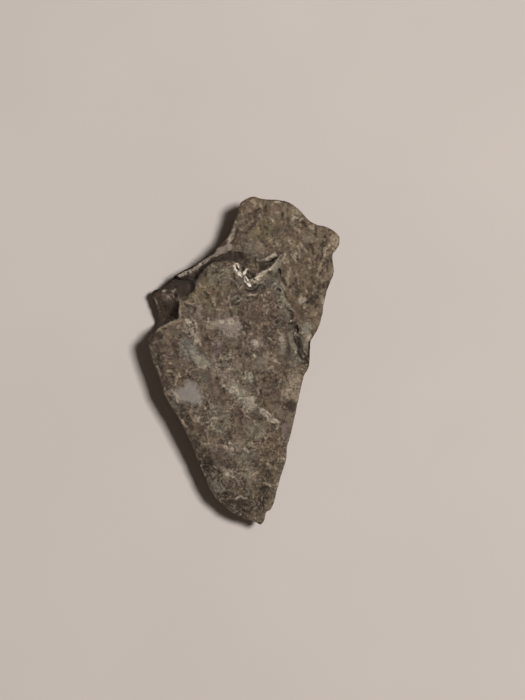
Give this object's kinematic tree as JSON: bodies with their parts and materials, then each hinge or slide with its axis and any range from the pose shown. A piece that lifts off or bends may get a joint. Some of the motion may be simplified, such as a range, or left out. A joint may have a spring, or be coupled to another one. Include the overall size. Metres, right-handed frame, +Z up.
{
  "type": "lunar meteorite end cut",
  "caption": "Small wedge-shaped piece of lunar breccia with a weathered, clast-speckled upper side, broken undercut sides and a flat sawn face to rest on.",
  "frame": {"origin": "on the sawn face's plane, under the centre of the stone's bounding box", "axes": "+Y along the stone from its pointed tip to its broad head, +X across it, +Z up from the sawn face"},
  "size_m": [0.0154, 0.0264, 0.0044],
  "materials": {
    "weathered_breccia": "matt, weathered, with paler clasts"
  },
  "bodies": {
    "root": {"stone": "weathered_breccia"}
  },
  "joints": []
}
